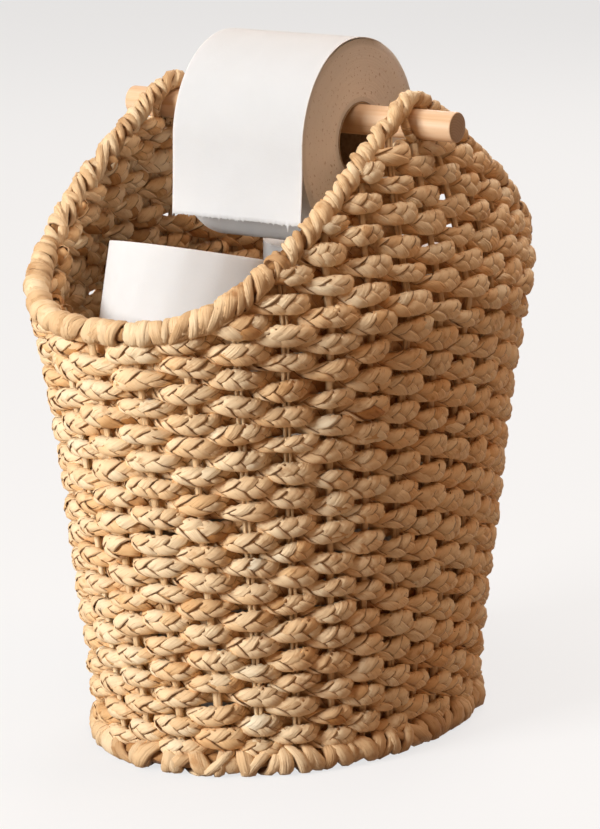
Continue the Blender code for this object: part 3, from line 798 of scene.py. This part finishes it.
print("foot and floor made")


# the stakes

stakes = {
    "halfWidth": 0.0026, "halfThick": 0.0021, "outward": 0.002, "bottom": 0.012,
    "underRim": 0.004, "underDowel": 0.001,
    "dowelReach": 0.012,  # how near to the ear's middle a stake ends under the dowel
    "splitShare": 0.3, "splitSize": 0.52, "splitApart": 0.55, "unevenSize": (6, 0.06), "tone": 0.45,
    "toneSpread": 0.12, "toneDrift": (8, 0.08), "sides": 8, "step": 0.006,
}


def stakeTop(angle):
    top = float(rimPlace(np.array([angle]))[0, 2])
    seat = ear["seatHeight"]
    aside = abs(float(wallPlace(np.array([angle]), seat)[0, 1]))
    if top > seat and aside < stakes["dowelReach"]:
        return seat - stakes["underDowel"]
    return top - stakes["underRim"]


mesh = emptyMesh()
for i in range(wall["stakes"]):
    angle = float(angleAt(i)[0])
    top = stakeTop(angle)
    heights = np.arange(stakes["bottom"], top, stakes["step"])
    heights = np.append(heights[:-1], top)
    count = len(heights)
    line = wallPlace(np.full(count, angle), heights, stakes["outward"])
    facing = wallPlace(np.full(count, angle), heights, 1.0) - line
    split = rng.random() < stakes["splitShare"]  # some are two thin reeds side by side
    sideways = unit(np.cross(facing, np.gradient(line, axis=0)))
    for side in ((-1, 1) if split else (0,)):
        size = 1 + drift(count, *stakes["unevenSize"])
        size = (stakes["splitSize"] if split else 1.0) * size
        tone = stakes["tone"] + stakes["toneSpread"] * rng.normal()
        tone = tone + drift(count, *stakes["toneDrift"])
        addStrand(
            mesh, line + sideways * side * stakes["halfWidth"] * stakes["splitApart"], facing,
            stakes["halfWidth"] * size, stakes["halfThick"] * size**0.5, stakes["sides"], tone,
            start=float(rng.uniform(0, 3)),
        )
reed = {
    "stops": [
        (0.1, (0.62, 0.4, 0.2)), (0.4, (0.82, 0.58, 0.33)), (0.65, (0.92, 0.69, 0.42)),
        (0.95, (0.95, 0.77, 0.51)),
    ],
    # the crease colour is painted shade for the reeds' edges
    "paintedCreaseShade": (0.22, 0.11, 0.045), "paintedCreaseShare": 0.45, "roughness": 0.55,
}
reedMaterial = strandMaterial("reed", reed)
piece = finishMesh("reedStakes", mesh, reedMaterial)
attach(piece, "basket")
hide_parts(*[f"stake_{i + 1:02d}" for i in range(wall["stakes"])])
print("stakes made")


# the dowel

dowel = {
    "radius": 0.0095, "length": 0.251, "centre": (0.0006, 0.0, 0.3962), "easing": 0.0009,
    "inset": 0.003, "colour": (0.8, 0.56, 0.31), "roughness": 0.48,
    "grain": (9.0, 260.0, 260.0),  # drawn out along X
    "shades": [(0.3, (0.65, 0.385, 0.2)), (0.5, (0.775, 0.515, 0.31)), (0.72, (0.835, 0.605, 0.405))],
    "heart": (0.0, 0.006, 0.011),  # the growth rings' middle lies beside the dowel's own
    "rings": {"Scale": 190.0, "Distortion": 2.5, "Detail": 3.0, "Detail Scale": 3.0},
    "ends": [(0.2, (0.4, 0.25, 0.14)), (0.8, (0.45, 0.29, 0.165))],
}


def dowelMaterial():
    made, tree, shader = newMaterial("pale wood", dowel["colour"], dowel["roughness"])
    place = addNode(tree, "TexCoord", "Object")
    centred = addMapping(place, Location=tuple(-c for c in dowel["centre"]))
    grain = addNoise(addMapping(centred, Scale=dowel["grain"]), 1.0, 6.0, 0.6)
    shades = addRamp(grain, dowel["shades"])
    # growth rings show on the sawn ends, which face along X
    normal = addNode(tree, "NewGeometry", "Normal")
    endwise = addMath("ABSOLUTE", addNode(tree, "SeparateXYZ", "X", {"Vector": normal}))
    isEnd = addRange(endwise, 0.75, 0.95)
    entries = {"Vector": addMapping(centred, Location=dowel["heart"]), **dowel["rings"]}
    rings = addNode(tree, "TexWave", "Fac", entries, wave_type="RINGS", rings_direction="X")
    ends = addRamp(rings, dowel["ends"])
    enter(addMix(tree, "MIX", isEnd, shades, ends), shader, "Base Color")
    enter(addBump(grain, 0.25, 0.0003), shader, "Normal")
    return made


deselectAll()
bpy.ops.mesh.primitive_cylinder_add(
    vertices=72, radius=dowel["radius"], depth=dowel["length"],
    location=dowel["centre"], rotation=(0.0, pi / 2, 0.0),
)
piece = bpy.context.object
piece.name = "dowelRod"
bpy.ops.object.transform_apply(location=True, rotation=True, scale=True)
bpy.ops.object.mode_set(mode="EDIT")
pick("faces", lambda face: abs(face.normal.x) > 0.9, False)
bpy.ops.mesh.bevel(offset=dowel["easing"], segments=3, affect="EDGES")
pick("faces", lambda face: abs(face.normal.x) > 0.99, False)
bpy.ops.mesh.inset(thickness=dowel["inset"])
bpy.ops.object.mode_set(mode="OBJECT")
bpy.ops.object.shade_smooth_by_angle(angle=math.radians(40))
giveMaterial(piece, dowelMaterial())
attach(piece, "dowel")
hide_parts("dowel")
print("dowel made")


# paper

rolls = {
    "width": 0.099, "radius": 0.0636, "bore": 0.024, "coreOuter": 0.0237, "coreInner": 0.0227,
    "coreShorter": 0.0004, "soft": 0.003, "segments": 128, "bands": 12, "coreSegments": 64,
    "coreBands": 2, "endSink": 0.0004, "deepestSink": 0.0012, "face": (0.69, 0.69, 0.684),
    "soakTint": (0.75, 0.7, 0.66), "soak": 0.012,
}
look = {
    "roughness": 0.85,
    "glow": 0.55,  # share of the light that soaks in and leaves it again
    # the ends' colour is painted light: far lighter than the face, for ends that stand in shade
    "wound": (0.95, 0.93, 0.92), "layerScale": 900.0, "roundScale": 18.0,
    "layerShades": ((0.3, 0.97), (0.55, 1.0), (0.78, 1.02)), "fleckScale": 430.0,
    "flecks": [(0.31, (0.62, 0.55, 0.5)), (0.38, (1.0, 1.0, 1.0))],
    "fleckShare": 0.8, "outerBand": (-0.0052, -0.003), "innerBand": (0.0036, 0.0022),
    "bandShare": 0.55, "endDepth": (0.0012, 0.0004), "mottleScale": 30.0, "mottle": 0.975,
    "tissueScale": 900.0,
    "dimples": {"Scale": 62.0, "Randomness": 0.35},
}


def paperMaterial(name, kind, axis):  # axis carries a roll that stands on Z to its place
    face = kind["face"]
    made, tree, shader = newMaterial(name, face, look["roughness"])
    enter(look["glow"], shader, "Subsurface Weight")
    enter(kind["soakTint"], shader, "Subsurface Radius")
    enter(kind["soak"], shader, "Subsurface Scale")
    place = addNode(tree, "TexCoord", "Object")
    back = axis.inverted()
    local = addMapping(place, Location=back.to_translation(), Rotation=back.to_euler("XYZ"))
    apart = addNode(tree, "SeparateXYZ", "X", {"Vector": local}).node.outputs
    # distance from the axis, for the wound layers that show at the ends
    flat = addNode(tree, "CombineXYZ", "Vector", {"X": apart["X"], "Y": apart["Y"]})
    fromAxis = addNode(tree, "VectorMath", "Value", {0: flat}, operation="LENGTH")
    layered = addMath("MULTIPLY", fromAxis, look["layerScale"])
    around = addNode(tree, "CombineXYZ", "Vector", {"X": layered})
    entries = {0: local, "Scale": look["roundScale"]}
    fineAround = addNode(tree, "VectorMath", "Vector", entries, operation="SCALE")
    summed = addNode(tree, "VectorMath", "Vector", {0: around, 1: fineAround}, operation="ADD")
    layers = addNoise(summed, 1.0, 4.0)
    # painted light: the ends are coloured far lighter than the outer face of the same paper, standing
    # in for light on the shaded ends
    wound = Vector(look["wound"])
    ends = addRamp(layers, [(at, tuple(wound * share)) for at, share in look["layerShades"]])
    flecks = addRamp(addNoise(local, look["fleckScale"], 2.0), look["flecks"])
    ends = addMix(tree, "MULTIPLY", look["fleckShare"], ends, flecks)
    # its outer edge and the turns next to the core are mixed part way back to the face's colour
    for key, edge in (("outerBand", rolls["radius"]), ("innerBand", rolls["bore"])):
        low, high = look[key]
        band = addRange(fromAxis, edge + low, edge + high, 0.0, look["bandShare"])
        ends = addMix(tree, "MIX", band, ends, (*face, 1.0))
    # ends are the faces within the roll's edge; they carry the painted light
    low, high = (rolls["width"] / 2 - depth for depth in look["endDepth"])
    isEnd = addRange(addMath("ABSOLUTE", apart["Z"]), low, high)
    mottled = addNoise(local, look["mottleScale"], 4.0)
    outer = addRamp(mottled, [(0.35, tuple(Vector(face) * look["mottle"])), (0.65, face)])
    enter(addMix(tree, "MIX", isEnd, outer, ends), shader, "Base Color")
    tissue = addBump(addNoise(local, look["tissueScale"], 3.0), 0.18, 0.0004)
    layerBump = addBump(layers, isEnd, 0.0002, tissue)
    # soft pressed dimples, in staggered rows
    entries = {"Vector": local, **look["dimples"]}
    dimples = addNode(tree, "TexVoronoi", "Distance", entries, feature="SMOOTH_F1")
    enter(addBump(dimples, 0.24, 0.0009, layerBump), shader, "Normal")
    return made


cardLook = {
    "colour": (0.43, 0.33, 0.24), "roughness": 0.9, "fibreScale": 420.0,
    "shades": [(0.3, (0.36, 0.27, 0.19)), (0.7, (0.5, 0.395, 0.29))],
}


def cardMaterial():
    made, tree, shader = newMaterial("grey card", cardLook["colour"], cardLook["roughness"])
    fibres = addNoise(addNode(tree, "TexCoord", "Object"), cardLook["fibreScale"], 5.0)
    enter(addRamp(fibres, cardLook["shades"]), shader, "Base Color")
    enter(addBump(fibres, 0.2, 0.0003), shader, "Normal")
    return made


def makeTube(name, radius, bore, width, soft, segments, bands):
    deselectAll()
    bpy.ops.mesh.primitive_cylinder_add(vertices=segments, radius=radius, depth=width)
    tube = bpy.context.object
    tube.name = name
    bpy.ops.object.mode_set(mode="EDIT")
    pick("faces", lambda face: abs(face.normal.z) > 0.9)
    bpy.ops.mesh.inset(thickness=radius - bore)
    bpy.ops.mesh.delete(type="FACE")
    pick("edges", lambda edge: edge.is_boundary)
    bpy.ops.mesh.bridge_edge_loops()

    def atRim(edge):
        ends = [v.co for v in edge.verts]
        outer = all(math.hypot(c.x, c.y) > radius - soft / 2 for c in ends)
        return outer and abs(ends[0].z - ends[1].z) < soft / 2

    if soft:
        pick("edges", atRim)
        bpy.ops.mesh.bevel(offset=soft, segments=3, affect="EDGES")
    for band in range(1, bands):  # rings round the roll, for the wrinkles
        bpy.ops.mesh.select_all(action="SELECT")
        level = -width / 2 + soft + (width - 2 * soft) * band / bands
        bpy.ops.mesh.bisect(plane_co=(0.0, 0.0, level), plane_no=(0.0, 0.0, 1.0))
    bpy.ops.object.mode_set(mode="OBJECT")
    return tube


def makeRoll(name, node, axis, body, wrinkle, sag=0.0):
    bore, radius, width = rolls["bore"], rolls["radius"], rolls["width"]
    paper = makeTube(
        name + "Paper", radius, bore, width, rolls["soft"], rolls["segments"], rolls["bands"]
    )
    co = np.array([v.co for v in paper.data.vertices])
    distance = np.hypot(co[:, 0], co[:, 1])
    turn = np.arctan2(co[:, 1], co[:, 0])
    share = np.clip((distance - bore) / (radius - bore), 0, 1)
    # the outer layers lie a little loose and the ends are a little uneven
    seed = rng.uniform(0, 6, 6)
    slack = np.sin(3 * turn + seed[0]) + 0.6 * np.sin(7 * turn + 40 * co[:, 2] + seed[1])
    slack = slack + 0.5 * np.sin(17 * turn - 60 * co[:, 2] + seed[2])
    inwards = wrinkle * (1.2 + slack / 2) * share**4
    low = np.clip(np.cos(turn), 0, None) ** 2  # loose layers hang away below
    outwards = sag * low * share**2 - np.clip(inwards, 0, None)
    co[:, :2] *= (1 + outwards / np.maximum(distance, 1e-6))[:, None]
    ends = np.abs(co[:, 2]) > width / 2 - 0.0005
    sink = 1 + np.sin(9 * share + seed[3]) + 0.5 * np.sin(2 * turn + seed[4])
    sink = np.clip(rolls["endSink"] * sink, 0, rolls["deepestSink"])
    co[:, 2] -= np.sign(co[:, 2]) * ends * sink
    paper.data.vertices.foreach_set("co", co.reshape(-1).astype(np.float32))
    core = makeTube(
        name + "Core", rolls["coreOuter"], rolls["coreInner"], width - rolls["coreShorter"], 0.0,
        rolls["coreSegments"], rolls["coreBands"],
    )
    for made, finish, ending, slotName in (
        (paper, paperMaterial(name + " paper", rolls, axis), "_paper", "paper"),
        (core, card, "_core", "card"),
    ):
        made.data.transform(axis)
        makeActive(made)
        bpy.ops.object.shade_smooth_by_angle(angle=math.radians(35))
        giveMaterial(made, finish)
        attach(made, body)
        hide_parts(node + ending)


hung = {
    "centre": (0.0045, 0.0, 0.3833), "wrinkle": 0.0002, "sag": 0.0045,
}
spare = {
    "layer": 0.0993, "firstMiddle": 0.0573, "stackDepth": 0.0639, "wrinkle": 0.0003,
    "topRear": (-0.004, 0.0845, 0.2559), "topRearWrinkle": 0.0004, "lean": math.radians(13.5),
    "topFrontY": -0.0857, "topFrontBase": 0.2064, "topFrontWrinkle": 0.0007,
}
card = cardMaterial()
hungAxis = Matrix.Translation(hung["centre"]) @ Matrix.Rotation(pi / 2, 4, "Y")
makeRoll("hungRoll", "hung_roll", hungAxis, "hung_roll", hung["wrinkle"], hung["sag"])
for side, where in ((-1, "front"), (1, "rear")):
    for i in range(2):
        middle = (0.0, side * spare["stackDepth"], spare["firstMiddle"] + spare["layer"] * i)
        upright = Matrix.Translation(middle)
        makeRoll(f"{where}Spare{i + 1}", f"spare_{where}_{i + 1}", upright, "basket", spare["wrinkle"])
upright = Matrix.Translation(spare["topRear"])
makeRoll("rearSpareTop", "spare_rear_top", upright, "basket", spare["topRearWrinkle"])
half = rolls["width"] / 2
lean = spare["lean"]
lift = half * math.cos(lean) + rolls["radius"] * math.sin(lean)
middle = (0.0, spare["topFrontY"] - half * math.sin(lean), spare["topFrontBase"] + lift)
leaning = Matrix.Translation(middle) @ Matrix.Rotation(-lean, 4, "X")
makeRoll("frontSpareTop", "spare_front_top", leaning, "basket", spare["topFrontWrinkle"])
print("rolls made")


# the loose sheet

looseSheet = {
    "face": (0.848, 0.848, 0.836), "soakTint": (1.0, 0.95, 0.9),
    "soak": 0.004,  # light that passes through one sheet
    "radius": 0.064,
    "start": math.radians(112),  # where its way down the roll begins, counted up from the level front
    "tuck": 0.0006, "standOff": 0.0016, "standOffPace": 1.15, "drop": 0.0466, "curl": 0.001,
    "wave": 0.0008, "waves": 5.0, "corner": 0.0016, "cornerStart": 0.8, "width": 0.099,
    "thickness": 0.0004, "columns": 150, "rows": 64, "tooth": 0.0008,
}


def sheetPlace(across, down, wrapLength):  # y and z from the roll's axis
    if down < wrapLength:
        share = down / wrapLength
        angle = looseSheet["start"] * (1 - share)
        away = looseSheet["radius"] - looseSheet["tuck"] * (1 - share) ** 4
        bulge = math.sin(pi * min(1.0, share * looseSheet["standOffPace"])) ** 2
        away += looseSheet["standOff"] * bulge
        return -away * math.cos(angle), away * math.sin(angle)
    hang = down - wrapLength
    share = hang / looseSheet["drop"]
    y = -looseSheet["radius"] - looseSheet["curl"] * share**2
    y -= looseSheet["wave"] * share * math.sin(across * looseSheet["waves"])
    y -= looseSheet["corner"] * share**2 * max(0.0, across - looseSheet["cornerStart"]) * 5
    return y, -hang


def makeSheet():
    wrapLength = looseSheet["radius"] * looseSheet["start"]
    full = wrapLength + looseSheet["drop"]
    columns, rowsDown = looseSheet["columns"], looseSheet["rows"]
    teeth = np.abs(rng.normal(0, 1, columns + 1)) ** 2
    verts = []
    for r in range(rowsDown + 1):
        for c in range(columns + 1):
            across = c / columns
            down = full * r / rowsDown
            if r == rowsDown:  # torn along the perforation
                down += looseSheet["tooth"] * (0.5 * (c % 4 == 0) + 0.45 * teeth[c])
            x = hung["centre"][0] + looseSheet["width"] * (across - 0.5)
            y, z = sheetPlace(across, down, wrapLength)
            verts.append((x, y, hung["centre"][2] + z))
    faces = []
    for r in range(rowsDown):
        for c in range(columns):
            a = r * (columns + 1) + c
            faces.append((a, a + 1, a + columns + 2, a + columns + 1))
    data = bpy.data.meshes.new("looseSheet")
    data.from_pydata(verts, [], faces)
    return placeObject("looseSheet", data), full


piece, full = makeSheet()
makeActive(piece)
thicken = piece.modifiers.new("Thickness", "SOLIDIFY")
thicken.thickness = looseSheet["thickness"]
thicken.offset = 1.0
bpy.ops.object.modifier_apply(modifier="Thickness")
piece.data.shade_smooth()
giveMaterial(piece, paperMaterial("loose sheet paper", looseSheet, hungAxis))
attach(piece, "hung_roll")
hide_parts("loose_sheet")
print("loose sheet made")


# studio

def aimed(name, data, place, towards):
    made = placeObject(name, data)
    made.location = place
    made.rotation_mode = "QUATERNION"
    made.rotation_quaternion = towards.to_track_quat("-Z", "Y")
    return made


camera = {
    "place": (1.27496, -1.81702, 0.66826), "azimuth": math.radians(34.89),
    "pitch": math.radians(11.896), "focalPixels": 3508.5, "longSidePixels": 829, "sensor": 36.0,
    "farthest": 30.0,
}
lens = bpy.data.cameras.new("camera")
lens.lens = camera["sensor"] * camera["focalPixels"] / camera["longSidePixels"]
lens.clip_end = camera["farthest"]
azimuth, pitch = camera["azimuth"], camera["pitch"]
bpy.context.scene.camera = aimed("camera", lens, camera["place"], Vector((
    -math.sin(azimuth) * math.cos(pitch), math.cos(azimuth) * math.cos(pitch), -math.sin(pitch),
)))

lamps = {
    "key": {"place": (-0.7, -2.39, 1.05), "size": 0.9, "power": 76.5, "colour": (0.97, 0.99, 1.0)},
    "top": {"place": (0.1, -0.2, 2.6), "size": 1.2, "power": 17.0, "colour": (1.0, 0.99, 0.97)},
    "side": {"place": (1.7, 1.0, 2.7), "size": 1.2, "power": 19.5, "colour": (1.0, 0.66, 0.44)},
    "back": {"place": (-1.1, 2.9, 2.5), "size": 1.6, "power": 46.0, "colour": (1.0, 0.96, 0.91)},
}
for name, lamp in lamps.items():
    light = bpy.data.lights.new(name, "AREA")
    light.energy = lamp["power"]
    light.size = lamp["size"]
    light.color = lamp["colour"]
    towards = Vector((0.0, 0.0, 0.2)) - Vector(lamp["place"])
    aimed(name, light, lamp["place"], towards)

studio = {
    "ambient": {"Color": (1.0, 0.46, 0.18, 1.0), "Strength": 0.125},
    "backdrop": {"Color": (0.93, 0.93, 0.92, 1.0), "Strength": 1.0},
    "floorSize": 60.0, "floor": (0.86, 0.86, 0.85), "floorRoughness": 0.7,
    "floorThrows": (0.24, 0.16, 0.1, 1.0),  # what it throws back at the basket
    "floorSeen": (0.9, 0.89, 0.88, 1.0), "floorGlow": (0.95, 0.945, 0.94, 1.0), "glowShare": 0.78,
}


def seenRays(tree):  # 1 for camera, glossy and transmission rays
    rays = addNode(tree, "LightPath", "Is Camera Ray").node.outputs
    seen = addMath("MAXIMUM", rays["Is Camera Ray"], rays["Is Glossy Ray"])
    return addMath("MAXIMUM", seen, rays["Is Transmission Ray"])


def addChoice(tree, share, first, second, output):
    both = addNode(tree, "MixShader", "Shader", {"Fac": share, 1: first, 2: second})
    enter(both, output, "Surface")


world = bpy.data.worlds.new("world")
bpy.context.scene.world = world
world.use_nodes = True
tree = world.node_tree
tree.nodes.clear()
soft = addNode(tree, "Background", "Background", studio["ambient"])
plain = addNode(tree, "Background", "Background", studio["backdrop"])
addChoice(tree, seenRays(tree), soft, plain, tree.nodes.new("ShaderNodeOutputWorld"))

deselectAll()
bpy.ops.mesh.primitive_plane_add(size=studio["floorSize"], location=(0.0, 0.0, 0.0))
ground = bpy.context.object
ground.name = "studioFloor"
made, tree, shader = newMaterial("pale floor", studio["floor"], studio["floorRoughness"])
seen = seenRays(tree)
enter(addMix(tree, "MIX", seen, studio["floorThrows"], studio["floorSeen"]), shader, "Base Color")
glow = addNode(tree, "Emission", "Emission", {"Color": studio["floorGlow"]})
share = addMath("MULTIPLY", seen, studio["glowShare"])
addChoice(tree, share, shader.outputs["BSDF"], glow, tree.nodes["Material Output"])
giveMaterial(ground, made)

bpy.context.scene.view_settings.view_transform = "Standard"
print("studio made")
